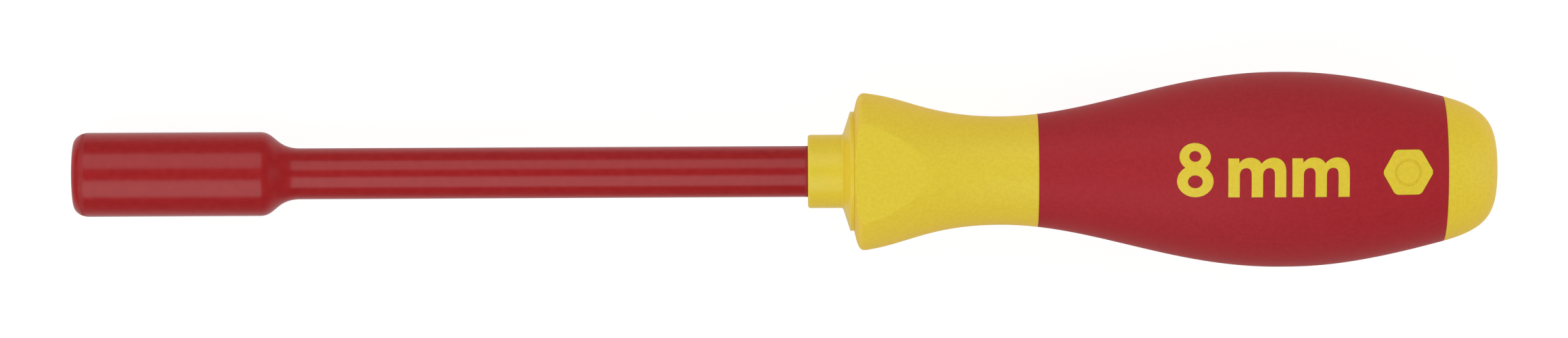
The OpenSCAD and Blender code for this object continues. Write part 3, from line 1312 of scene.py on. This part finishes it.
@dataclass(frozen=True)
class SizeMark:
    """Nut size in plain figures, inlaid in the grip: an 8 and the letters of the unit."""

    shape: HandleShape
    middle: Point = (201.6 * MM, 0.55 * MM)
    scale: float = 0.95 * MM
    depth: float = 0.5 * MM
    stand: float = 0.02 * MM
    gap: float = 0.02 * MM
    x_height: float = 6.9
    letter_starts: tuple[float, float] = (9.0, 20.3)
    width: float = 30.5
    rings: tuple[tuple[float, float, float], ...] = ((7.15, 2.75, 2.45), (2.85, 3.2, 2.85))
    holes: tuple[tuple[float, float, float], ...] = ((7.25, 1.05, 0.95), (2.75, 1.3, 1.15))
    oval_steps: int = 96
    letter_steps: int = 8

    SPUR = 1.9
    STEM = 2.0
    FEET = (8.2, 4.1)
    ARCHES = (
        ((1.95, -0.8), (2.4, -0.25), (3.0, 0.12), (3.9, 0.12)),
        ((3.9, 0.12), (4.8, 0.12), (5.5, -0.25), (5.85, -0.95)),
        ((5.85, -0.95), (6.4, -0.3), (7.1, 0.12), (8.0, 0.12)),
        ((8.0, 0.12), (9.4, 0.12), (10.2, -0.8), (10.2, -2.3)),
    )
    BAYS = (
        ((0.0, -2.9), (0.0, -2.1), (-0.3, -1.7), (-0.95, -1.7)),
        ((-0.95, -1.7), (-1.6, -1.7), (-2.1, -2.2), (-2.1, -3.0)),
    )

    def build(self, shop: Workshop, grip: bpy.types.Object, yellow: bpy.types.Material) -> None:
        """Builds the inlay and cuts its pocket in the grip.

        Args:
            shop: Workshop that makes the piece.
            grip: Grip that the pocket is cut in.
            yellow: Finish of the inlay.
        """
        pocket = self._figures(shop, "pocket_tool", self.gap, self.depth + self.gap, 2 * self.depth, yellow)
        shop.cut(grip, pocket, Cut.AWAY)
        shop.discard(pocket)
        inlay = self._figures(shop, "size_mark_inlay", 0.0, self.depth, self.stand, yellow)
        shop.deliver(inlay, Slot.HARD)

    def _figures(
        self, shop: Workshop, name: str, grow: float, depth: float, stand: float, finish: bpy.types.Material
    ) -> bpy.types.Object:
        """Makes the mark as a solid that follows the grip's face.

        Args:
            shop: Workshop that makes the piece.
            name: Name of the solid.
            grow: Distance that its edges stand outside the mark's own.
            depth: Depth of its inner face below the grip's face.
            stand: Height of its outer face above the grip's face.
            finish: Finish of the solid.

        Returns:
            The solid.
        """
        outer = self.shape.grip()
        outline = Outline().along(lowered(outer, -stand)).along(lowered(outer, depth)[::-1])
        solid = shop.turn(name, outline.closed(), finish)
        tops = [self._oval(ring, grow) for ring in self.rings]
        tops += [self._em(start, grow) for start in self.letter_starts]
        high = 2 * self.shape.belly_radius
        figures = shop.prism("figure_tool", self._placed(tops[0]), 0.0, high)
        for loop in tops[1:]:
            self._work(shop, figures, loop, high, Cut.JOINED)
        for hole in self.holes:
            self._work(shop, figures, self._oval(hole, -grow), high, Cut.AWAY)
        shop.cut(solid, figures, Cut.COMMON)
        shop.discard(figures)
        return solid

    def _work(
        self, shop: Workshop, figures: bpy.types.Object, loop: Sequence[Point], high: float, kind: Cut
    ) -> None:
        """Adds a prism to the figures or takes it away.

        Args:
            shop: Workshop that does the work.
            figures: Solid that is worked on.
            loop: Corners of the prism in the mark's own units.
            high: Height of the prism.
            kind: What the prism does.
        """
        tool = shop.prism("loop_tool", self._placed(loop), 0.0, high)
        shop.cut(figures, tool, kind)
        shop.discard(tool)

    def _placed(self, loop: Iterable[Point]) -> list[Point]:
        """Puts a loop in its place on the grip.

        Args:
            loop: Corners in the mark's own units.

        Returns:
            Corners in the tool's frame.
        """
        lift = (self.rings[0][0] + self.rings[0][2]) / 2
        x0, y0 = self.middle
        return [(x0 + self.scale * (x - self.width / 2), y0 + self.scale * (y - lift)) for x, y in loop]

    def _oval(self, ring: tuple[float, float, float], grow: float) -> list[Point]:
        """Draws one oval of the figure 8.

        Args:
            ring: Height of its middle, half width and half height.
            grow: Distance that it is widened by, in metres.

        Returns:
            Its corners in the mark's own units.
        """
        level, wide, tall = ring
        more = grow / self.scale
        middle = self.rings[1][1]
        turn = np.linspace(0.0, math.tau, self.oval_steps, endpoint=False)
        return [(middle + (wide + more) * math.cos(a), level + (tall + more) * math.sin(a)) for a in turn]

    def _em(self, start: float, grow: float) -> list[Point]:
        """Draws the letter m: its left side and arches, then each foot with the bay on its left.

        Args:
            start: Place of its left edge.
            grow: Distance that its edges are moved out by, in metres.

        Returns:
            Its corners in the mark's own units.
        """
        loop: list[Point] = [(0.0, 0.0), (0.0, self.x_height), (self.SPUR, self.x_height)]
        loop += self._curves(self.ARCHES, 0.0)
        for foot in self.FEET:
            loop += [(foot + self.STEM, 0.0), (foot, 0.0)]
            loop += self._curves(self.BAYS, foot)
        loop.append((self.STEM, 0.0))
        return self._grown([(start + x, y) for x, y in loop], grow / self.scale)

    def _curves(self, curves: Sequence[Sequence[Point]], shift: float) -> list[Point]:
        """Draws curves of the letter that follow each other.

        Args:
            curves: Four points of each curve, with heights from the letter's top.
            shift: Distance that the curves are moved to the right.

        Returns:
            The points along them, each joint once.
        """
        points: list[Point] = []
        for curve in curves:
            a, b, c, d = [(shift + x, self.x_height + y) for x, y in curve]
            points = points[:-1] + bezier(a, b, c, d, self.letter_steps)
        return points

    def _grown(self, loop: Sequence[Point], more: float) -> list[Point]:
        """Moves the edges of a loop outwards.

        Args:
            loop: Corners in order, clockwise.
            more: Distance that the edges move.

        Returns:
            The moved corners.
        """
        places = np.array(loop)
        ahead = np.roll(places, -1, axis=0) - places
        ahead /= np.linalg.norm(ahead, axis=1)[:, None]
        out = np.column_stack([-ahead[:, 1], ahead[:, 0]])
        before = np.roll(out, 1, axis=0)
        spread = 1 + np.sum(out * before, axis=1)[:, None]
        return [(float(x), float(y)) for x, y in places + more * (out + before) / spread]


@dataclass(frozen=True)
class Grip:
    """Soft grip with the window of the hexagon mark and the pocket of the size mark."""

    shape: HandleShape
    segments: int = 336
    mark_width: float = 7.6 * MM
    mark_blunt: float = 0.17 * MM
    mark_setback: float = 7.0 * MM
    mark_gap: float = 0.03 * MM
    mark_softness: float = 0.1 * MM
    mark_edge: float = 0.08 * MM
    mark_segments: int = 192
    face_steps: int = 14
    disc_steps: int = 10
    ring_radius: float = 2.1 * MM
    ring_width: float = 0.5 * MM
    ring_depth: float = 0.2 * MM
    ring_floor: float = 0.6

    @property
    def mark_place(self) -> float:
        """Station of the hexagon mark's centre."""
        return self.shape.cap_front - self.mark_setback

    @property
    def mark_corner(self) -> float:
        """Distance from the hexagon mark's centre to its blunted corners."""
        return hexagon_corner(self.mark_width / 2) - self.mark_blunt

    def radius_at(self, x: np.ndarray) -> np.ndarray:
        """Reads the grip's radius off its outline.

        Args:
            x: Stations along the tool.

        Returns:
            Radius at each station.
        """
        xs, radii = zip(*self.shape.grip())
        return np.interp(x, xs, radii)

    def build(self, shop: Workshop, red: bpy.types.Material, yellow: bpy.types.Material) -> None:
        """Builds the grip and what is inlaid in it.

        Args:
            shop: Workshop that makes the pieces.
            red: Finish of the soft grip.
            yellow: Finish of the inlays.
        """
        s = self.shape
        outer = s.grip()
        outline = (
            Outline()
            .along(outer, first=s.edge_rounding, last=s.edge_rounding)
            .along(lowered(outer, s.grip_wall)[::-1])
        )
        grip = shop.turn("soft_grip_sleeve", outline.closed(), red, self.segments)
        window = self._hexagon(shop, "window_tool", self._column(2 * s.belly_radius), self.mark_gap, red)
        shop.cut(grip, window, Cut.AWAY)
        shop.discard(window)
        SizeMark(s).build(shop, grip, yellow)
        shop.deliver(grip, Slot.SOFT, "soft_grip")
        self._build_hex_mark(shop, yellow)

    def _column(self, height: float) -> list[Point]:
        """Draws a plain column as wide as the mark's circle.

        Args:
            height: Height of the column.

        Returns:
            Its closed outline, as (height, radius) points.
        """
        radius = self.mark_corner + self.mark_gap
        return Outline().to(0.0, 0.0).to(0.0, radius).to(height, radius).to(height, 0.0).closed()

    def _hexagon(
        self, shop: Workshop, name: str, outline: Sequence[Point], gap: float, finish: bpy.types.Material
    ) -> bpy.types.Object:
        """Makes a hexagonal column that stands on the mark's place, with corners along the tool.

        Args:
            shop: Workshop that makes the piece.
            name: Name of the column.
            outline: Closed outline, as (height, radius) points.
            gap: Distance that the flats stand outside the mark's own.
            finish: Finish of the column.

        Returns:
            The column, with heights along +Z.
        """
        flats = Flats(HEXAGON, self.mark_width / 2 + gap, self.mark_softness)
        column = shop.turn(name, outline, finish, self.mark_segments, flats)
        height, across, along = shop.places(column).T
        shop.reshape(column, np.column_stack([self.mark_place + across, along, height]))
        shop.clean(column)
        return column

    def _build_hex_mark(self, shop: Workshop, yellow: bpy.types.Material) -> None:
        """Builds the hexagon inlay with its ring, draped on the grip's face.

        Args:
            shop: Workshop that makes the piece.
            yellow: Finish of the inlay.
        """
        half = self.ring_width / 2
        floor = self.ring_floor * half
        edge = self.mark_edge
        face = np.linspace(self.ring_radius + half, self.mark_width / 2, self.face_steps)
        disc = np.linspace(0.0, self.ring_radius - half, self.disc_steps)
        outline = (
            Outline()
            .to(-self.shape.grip_wall, 0.0)
            .along([(0.0, float(r)) for r in disc], last=edge)
            .to(-self.ring_depth, self.ring_radius - floor, edge)
            .to(-self.ring_depth, self.ring_radius + floor, edge)
            .along([(0.0, float(r)) for r in face], first=edge)
            .to(0.0, self.mark_corner)
            .to(-self.shape.grip_wall, self.mark_corner)
        )
        mark = self._hexagon(shop, "hex_mark_inlay", outline.closed(), 0.0, yellow)
        x, y, height = shop.places(mark).T
        surface = np.sqrt(self.radius_at(x) ** 2 - y**2)
        shop.reshape(mark, np.column_stack([x, y, surface + height]))
        shop.deliver(mark, Slot.HARD, "hex_mark")


@dataclass(frozen=True)
class Cap:
    """Domed end cap on the core's spigot."""

    shape: HandleShape
    pocket_radius: float = 7.55 * MM

    def build(self, shop: Workshop, yellow: bpy.types.Material) -> None:
        """Builds the cap.

        Args:
            shop: Workshop that makes the piece.
            yellow: Finish of the hard plastic.
        """
        s = self.shape
        seat = s.cap_front + s.spigot_length
        outline = (
            Outline()
            .to(s.cap_front, self.pocket_radius)
            .along(s.dome(), first=s.edge_rounding)
            .to(seat, 0.0)
            .to(seat, self.pocket_radius)
        )
        cap = shop.turn("end_cap_dome", outline.closed(), yellow)
        shop.deliver(cap, Slot.HARD, "end_cap")


@dataclass(frozen=True)
class PhotoView:
    """Camera that repeats the photograph's view, from places measured in it."""

    image_width: float = 2317.0
    image_height: float = 500.0
    pixels_per_mm: float = 8.676
    mouth_column: float = 109.2
    axis_row: float = 253.8
    axis_rise: float = math.radians(0.27)
    tool_roll: float = math.radians(2.5)
    distance: float = 1.25
    nearest: float = 0.01
    farthest: float = 100.0

    def back(self) -> Vector:
        """Returns the way from the tool to the camera."""
        return Vector((0.0, math.sin(self.tool_roll), math.cos(self.tool_roll)))

    def build(self) -> None:
        """Makes the camera and hands it to the scene."""
        scale = self.pixels_per_mm / MM
        back = self.back()
        along = Vector((1.0, 0.0, 0.0))
        across = back.cross(along)
        right = math.cos(self.axis_rise) * along - math.sin(self.axis_rise) * across
        up = math.sin(self.axis_rise) * along + math.cos(self.axis_rise) * across
        aim = along * ((self.image_width / 2 - self.mouth_column) / scale)
        aim += up * ((self.axis_row - self.image_height / 2) / scale)
        data = bpy.data.cameras.new("photo_view")
        data.lens = data.sensor_width * scale * self.distance / self.image_width
        data.clip_start = self.nearest
        data.clip_end = self.farthest
        camera = bpy.data.objects.new("photo_view", data)
        turned = Matrix((right, up, back)).transposed().to_4x4()
        camera.matrix_world = Matrix.Translation(aim + back * self.distance) @ turned
        bpy.context.scene.collection.objects.link(camera)
        bpy.context.scene.camera = camera
        LOG.info("camera: lens %.1f mm at %.2f m", data.lens, self.distance)


@dataclass(frozen=True)
class SoftBox:
    """A rectangular soft box that faces the tool."""

    side: Side
    radiance: float
    angle: float
    width: float
    length: float
    distance: float
    shift: float = 0.0
    in_gloss: bool = True
    tint: Colour = WHITE

    def lengthened(self, length: float) -> "SoftBox":
        """Makes a box that goes on from this one towards the butt, and that gloss doesn't mirror.

        Args:
            length: Length of the new box.

        Returns:
            The new box.
        """
        shift = self.shift + (self.length + length) / 2
        return replace(self, length=length, shift=shift, in_gloss=False)

    def hang(self, middle: Vector, roll: float) -> None:
        """Hangs the soft box.

        Args:
            middle: Middle of the tool.
            roll: Turn of the camera about the tool's axis.
        """
        use = "soft_box_" if self.in_gloss else "fill_"
        data = bpy.data.lights.new(use + self.side.name.lower(), "AREA")
        data.shape = "RECTANGLE"
        data.color = self.tint
        data.size = self.length
        data.size_y = self.width
        data.energy = self.radiance * math.pi * self.length * self.width
        lamp = bpy.data.objects.new(data.name, data)
        lamp.visible_camera = False
        lamp.visible_glossy = self.in_gloss
        x, y = self.side.value
        heading = Matrix.Rotation(math.atan2(-x, y), 4, "Z")
        tilt = Matrix.Rotation(-self.angle, 4, "X")
        reach = Matrix.Translation(Vector((0.0, 0.0, self.distance)))
        lean = Matrix.Rotation(-roll, 4, "X")
        place = Matrix.Translation(middle + Vector((self.shift, 0.0, 0.0)))
        lamp.matrix_world = place @ lean @ heading @ tilt @ reach
        bpy.context.scene.collection.objects.link(lamp)
        LOG.info("%s: radiance %.2f", data.name, self.radiance)


# The two boxes that the blade mirrors, and the length by which they go on over the handle
FAR_BOX = SoftBox(
    side=Side.FAR,
    radiance=1.28,
    angle=math.radians(37.5),
    width=0.54,
    length=0.924,
    distance=0.7,
    shift=-0.353,
)
NEAR_BOX = replace(FAR_BOX, side=Side.NEAR, radiance=1.6, angle=math.radians(40.5), width=0.63)
EXTENSION = 0.226

# Boxes that only fill in the sides and the ends
FAR_FILL = SoftBox(
    side=Side.FAR,
    radiance=0.6,
    angle=math.radians(72),
    width=0.4,
    length=1.0,
    distance=0.8,
    in_gloss=False,
    tint=(1.0, 0.9, 0.79),
)
TIP_FILL = replace(
    FAR_FILL, side=Side.TIP, radiance=1.6, angle=math.radians(78), width=0.5, length=0.5, tint=WHITE
)
BUTT_FILL = replace(TIP_FILL, side=Side.BUTT, radiance=2.7, angle=math.radians(76))


@dataclass(frozen=True)
class Studio:
    """White table, soft boxes round the tool, and a room that is dim in gloss."""

    view: PhotoView
    room_light: float = 0.29
    wall_tint: Colour = (1.0, 0.76, 0.6)
    ceiling_tint: Colour = (1.0, 0.97, 0.89)
    mirrored_wall: float = 0.09
    mirrored_ceiling: float = 0.12
    boxes: tuple[SoftBox, ...] = (
        FAR_BOX,
        FAR_BOX.lengthened(EXTENSION),
        NEAR_BOX,
        NEAR_BOX.lengthened(EXTENSION),
        FAR_FILL,
        TIP_FILL,
        BUTT_FILL,
    )
    floor_reach: float = 12.0
    floor_colour: Colour = (0.98, 0.89, 0.82)
    floor_white: float = 0.88
    shadow_share: float = 0.2
    white_from: float = 0.5
    white_to: float = 1.5
    mirrored_sheet: float = 0.6
    mirrored_table: float = 0.15
    sheet_middle: float = 7.0 * MM
    sheet_edge: float = 12.0 * MM
    sheet_fade: float = 50.0 * MM

    def build(self, shape: HandleShape) -> None:
        """Builds the table, the lamps and the room.

        Args:
            shape: Handle that lies on the table.
        """
        self._room()
        self._table(shape)
        middle = Vector((sum(CAD_BOX, Vector()).x / 2, 0.0, 0.0))
        for box in self.boxes:
            box.hang(middle, self.view.tool_roll)
        bpy.context.scene.view_settings.view_transform = "Standard"

    def _room(self) -> None:
        """Lights the room from its walls and ceiling: dim in gloss, and white behind the tool."""
        world = bpy.data.worlds.new("plain_room")
        g = Graph.emptied(world)
        heading = g.node("ShaderNodeTexCoord").outputs["Generated"]
        height = g.node("ShaderNodeSeparateXYZ", {0: heading}).outputs["Z"]
        tint = g.mix(Mixed.COLOURS, height, opaque(self.wall_tint), opaque(self.ceiling_tint))
        fill = g.node("ShaderNodeBackground", {"Color": tint, "Strength": self.room_light})
        gloss = g.ranged(height, (0.0, 1.0), (self.mirrored_wall, self.mirrored_ceiling))
        mirrored = g.node("ShaderNodeBackground", {"Color": opaque(WHITE), "Strength": gloss})
        white = g.node("ShaderNodeBackground", {"Color": opaque(WHITE), "Strength": 1.0})
        ray = g.node("ShaderNodeLightPath").outputs
        room = g.blend(ray["Is Glossy Ray"], fill, mirrored)
        seen = g.blend(ray["Is Camera Ray"], room, white)
        g.node("ShaderNodeOutputWorld", {"Surface": seen.outputs[0]})
        bpy.context.scene.world = world

    def _table(self, shape: HandleShape) -> None:
        """Lays the white table under the head and the belly.

        Args:
            shape: Handle whose grip lies on the table.
        """
        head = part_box("drive_socket")[0].x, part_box("blade_insulation")[1].y
        slopes = [(r - head[1]) / (x - head[0]) for x, r in shape.grip()]
        tilt = math.atan(max(slopes))
        reach = self.floor_reach
        corners = [(-reach, -reach, 0.0), (reach, -reach, 0.0), (reach, reach, 0.0), (-reach, reach, 0.0)]
        mesh = bpy.data.meshes.new("table")
        mesh.from_pydata(corners, [], [(0, 1, 2, 3)])
        mesh.transform(Matrix.Translation((head[0], 0.0, -head[1])) @ Matrix.Rotation(tilt, 4, "Y"))
        mesh.materials.append(self._table_white())
        table = bpy.data.objects.new("table", mesh)
        bpy.context.scene.collection.objects.link(table)
        LOG.info("table tilted by %.2f degrees", math.degrees(tilt))

    def _table_white(self) -> bpy.types.Material:
        """Builds the table's white, which keeps a soft shadow and is dimmed in gloss.

        Returns:
            The material.
        """
        made = bpy.data.materials.new("table_white")
        g = Graph.emptied(made)
        ray = g.node("ShaderNodeLightPath").outputs
        mirrored = g.math("MAXIMUM", ray["Is Glossy Ray"], ray["Is Transmission Ray"])
        seen = g.math("MAXIMUM", ray["Is Camera Ray"], mirrored)
        place = g.node("ShaderNodeTexCoord").outputs["Object"]
        far = g.node("ShaderNodeVectorMath", {0: place}, operation="LENGTH").outputs["Value"]
        level = g.ranged(far, (self.white_from, self.white_to), (self.floor_white, 1.0))
        tint = g.mix(Mixed.COLOURS, seen, opaque(self.floor_colour), opaque(WHITE))
        paper = g.node("ShaderNodeBsdfDiffuse", {"Color": tint})
        white = g.node("ShaderNodeEmission", {"Color": opaque(WHITE), "Strength": level})
        dark = g.node("ShaderNodeEmission", {"Strength": 0.0})
        shadow = g.blend(self.shadow_share, dark, paper)
        bright = g.node("ShaderNodeAddShader", {0: shadow.outputs[0], 1: white.outputs[0]})
        lit = g.blend(seen, paper, bright)
        across = g.node("ShaderNodeSeparateXYZ", {0: place}).outputs["Y"]
        away = g.math("ABSOLUTE", g.math("SUBTRACT", across, self.sheet_middle))
        losses = (1.0 - self.mirrored_sheet, 1.0 - self.mirrored_table)
        loss = g.ranged(away, (self.sheet_edge, self.sheet_fade), losses)
        dimmed = g.blend(g.math("MULTIPLY", mirrored, loss), lit, dark)
        g.node("ShaderNodeOutputMaterial", {"Surface": dimmed.outputs[0]})
        return made


def dress_hidden_shank(steel: bpy.types.Material) -> None:
    """Gives the shank inside the mouldings its steel.

    Args:
        steel: Finish of the steel.
    """
    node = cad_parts["shank"]
    node.data.materials.clear()
    node.data.materials.append(steel)
    LOG.info("shank: kept as packed, in steel")


def main() -> None:
    """Builds the dressed tool, its studio and its view."""
    logging.basicConfig(level=logging.INFO, format="%(name)s %(message)s")
    shop = Workshop()
    groups = SurfaceGroups()
    shape = HandleShape.from_frame()
    blade = Blade()
    steel = SteelFinish().material()
    sleeve_red = INSULATION_RED.material(groups, [blade.witness_station, shape.collar_front])
    grip_red = SOFT_RED.material(groups, [shape.grip_front, shape.cap_front])
    yellow = MOULDED_YELLOW.material(groups, [shape.grip_front, shape.cap_front])
    collar_yellow_painted_lighter = COLLAR_YELLOW_PAINTED_LIGHTER.material(groups, [])

    blade.build_socket(shop, steel)
    blade.build_insulation(shop, sleeve_red)
    dress_hidden_shank(steel)
    Core(shape, blade).build(shop, collar_yellow_painted_lighter)
    Guard(shape).build(shop, yellow)
    Grip(shape).build(shop, grip_red, yellow)
    Cap(shape).build(shop, yellow)

    view = PhotoView()
    view.build()
    Studio(view).build(shape)


if __name__ == "__main__":
    main()
